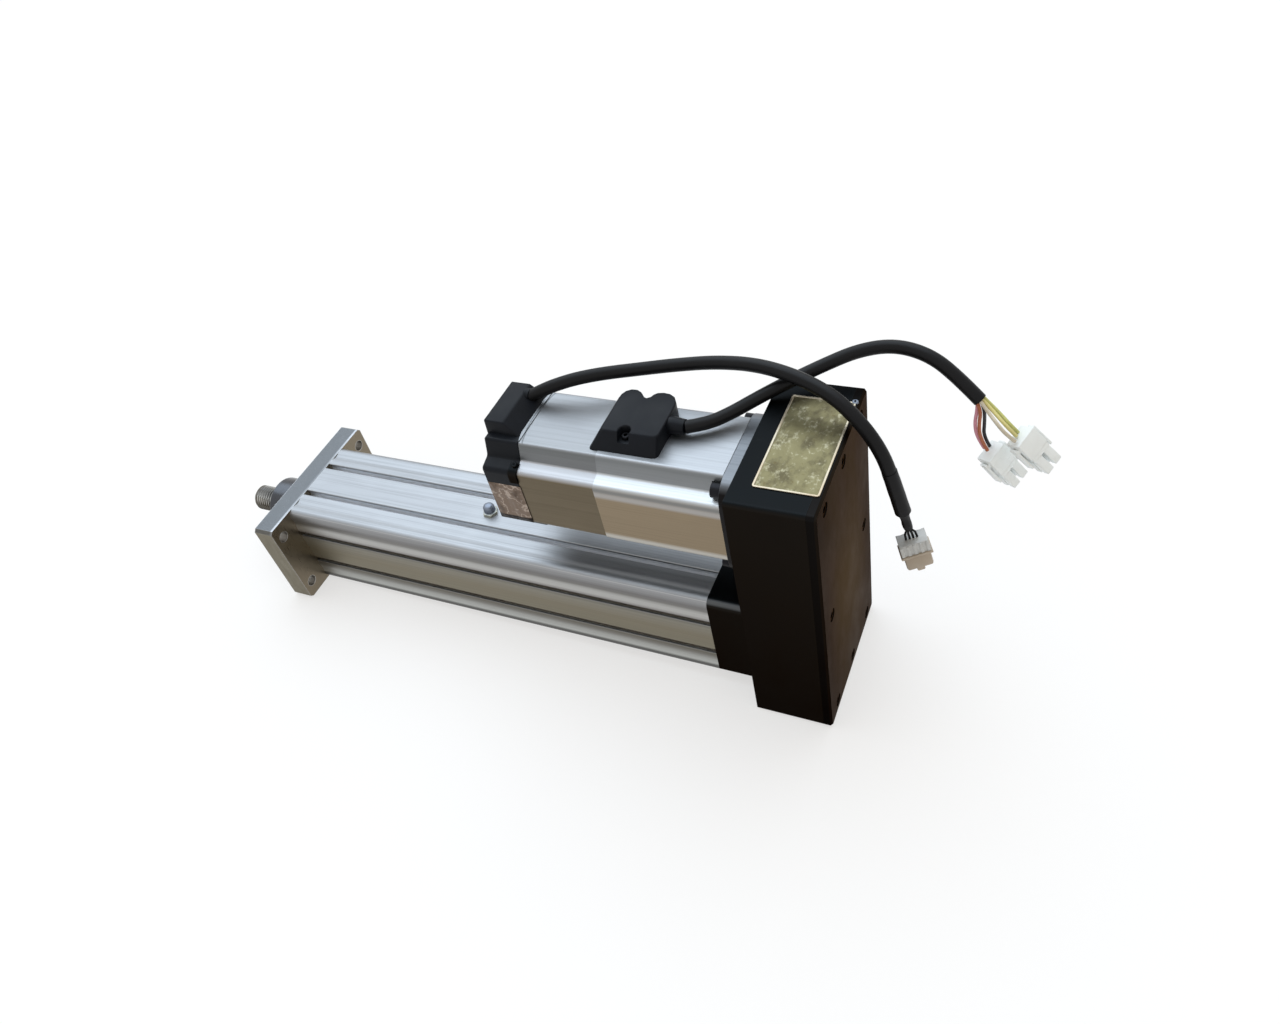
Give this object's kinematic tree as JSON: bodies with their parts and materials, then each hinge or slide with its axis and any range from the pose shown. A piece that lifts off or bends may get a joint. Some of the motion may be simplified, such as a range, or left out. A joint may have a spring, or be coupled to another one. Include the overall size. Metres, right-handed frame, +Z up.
{
  "type": "electric cylinder",
  "caption": "Electric linear cylinder with a slotted square tube, front mounting flange and threaded rod, driven by a folded-back servo motor through a rear belt housing.",
  "frame": {"origin": "on the rod's axis at the front face of the mounting flange, with the rod drawn in", "axes": "+X along the rod, the way it moves out; +Z up from the tube to the motor; +Y to the side"},
  "size_m": [0.6561, 0.1425, 0.2387],
  "materials": {
    "flange_steel": "satin machined steel",
    "tube_aluminium": "clear anodised extrusion",
    "motor_aluminium": "clear anodised extrusion",
    "brake_aluminium": "satin cast aluminium",
    "black_case": "black anodised",
    "black_plastic": "fine moulded grain",
    "rod_steel": "ground and hard chromed",
    "stud_steel": "turned",
    "black_screws": "black oxide",
    "bearing_steel": "ground",
    "carrier_aluminium": "turned",
    "bush_bronze": "plain",
    "seal_rubber": "matt",
    "ring_plastic": "matt",
    "belt_rubber": "matt",
    "core_steel": "laminated sheet",
    "coil": "varnished winding",
    "friction": "friction lining on a hub",
    "board": "solder mask",
    "cable_black": "smooth jacket",
    "wire_sheath": "coloured insulation",
    "plug_white": "moulded",
    "plug_grey": "moulded"
  },
  "bodies": {
    "cylinder": {"front_flange": "flange_steel", "flange_screws": "black_screws", "cylinder_tube": "tube_aluminium", "grease_plug": "black_screws", "front_head": "tube_aluminium", "rod_bush": "bush_bronze", "rod_wiper": "seal_rubber", "rear_block": "black_case", "block_screws": "black_screws", "screw_bearings_outer": "bearing_steel", "belt_housing": "black_case", "housing_screws": "black_screws", "housing_cover": "black_case", "cover_screws": "black_screws", "timing_belt": "belt_rubber", "motor_flange": "motor_aluminium", "motor_bolts": "black_screws", "stator_housing": "motor_aluminium", "stator_core": "core_steel", "brake_housing": "brake_aluminium", "brake_coil": "coil", "brake_plate": "core_steel", "encoder_cap": "black_plastic", "cap_screws": "black_screws", "encoder_board": "board", "motor_bearings_outer": "bearing_steel", "power_box": "black_plastic", "power_box_screws": "black_screws", "power_gland": "black_plastic", "encoder_gland": "black_plastic", "encoder_cable": "cable_black", "encoder_sleeve": "cable_black", "encoder_plug": "plug_grey", "power_cable": "cable_black", "power_wires": "wire_sheath", "power_plug": "plug_white", "brake_plug": "plug_white"},
    "rod": {"piston_rod": "rod_steel", "rod_stud": "stud_steel", "ball_nut": "bearing_steel", "piston_carrier": "carrier_aluminium", "guide_ring": "ring_plastic"},
    "screw": {"ball_screw": "bearing_steel", "screw_bearings_inner": "bearing_steel", "screw_lock_nut": "bearing_steel", "driven_pulley": "carrier_aluminium", "driven_pulley_screw": "bearing_steel"},
    "rotor": {"motor_shaft": "bearing_steel", "rotor_core": "core_steel", "motor_bearings_inner": "bearing_steel", "brake_disc": "friction", "encoder_disc": "carrier_aluminium", "drive_pulley": "carrier_aluminium", "drive_pulley_screw": "bearing_steel"}
  },
  "joints": [
    {"name": "rod_slide", "type": "slide", "parent": "cylinder", "child": "rod", "axis": [1, 0, 0], "range_m": [0, 0.2]},
    {"name": "screw_spin", "type": "hinge", "parent": "cylinder", "child": "screw", "pos_m": [0, 0, 0], "axis": [1, 0, 0], "range_deg": [-7205, 5]},
    {"name": "motor_spin", "type": "hinge", "parent": "cylinder", "child": "rotor", "pos_m": [0, 0, 0.1125], "axis": [1, 0, 0], "range_deg": [-7205, 5], "deforming": ["timing_belt"]}
  ],
  "couplings": [
    {"joint": "screw_spin", "follows": "rod_slide", "rad_per_m": -628.32},
    {"joint": "motor_spin", "follows": "rod_slide", "rad_per_m": -628.32}
  ]
}
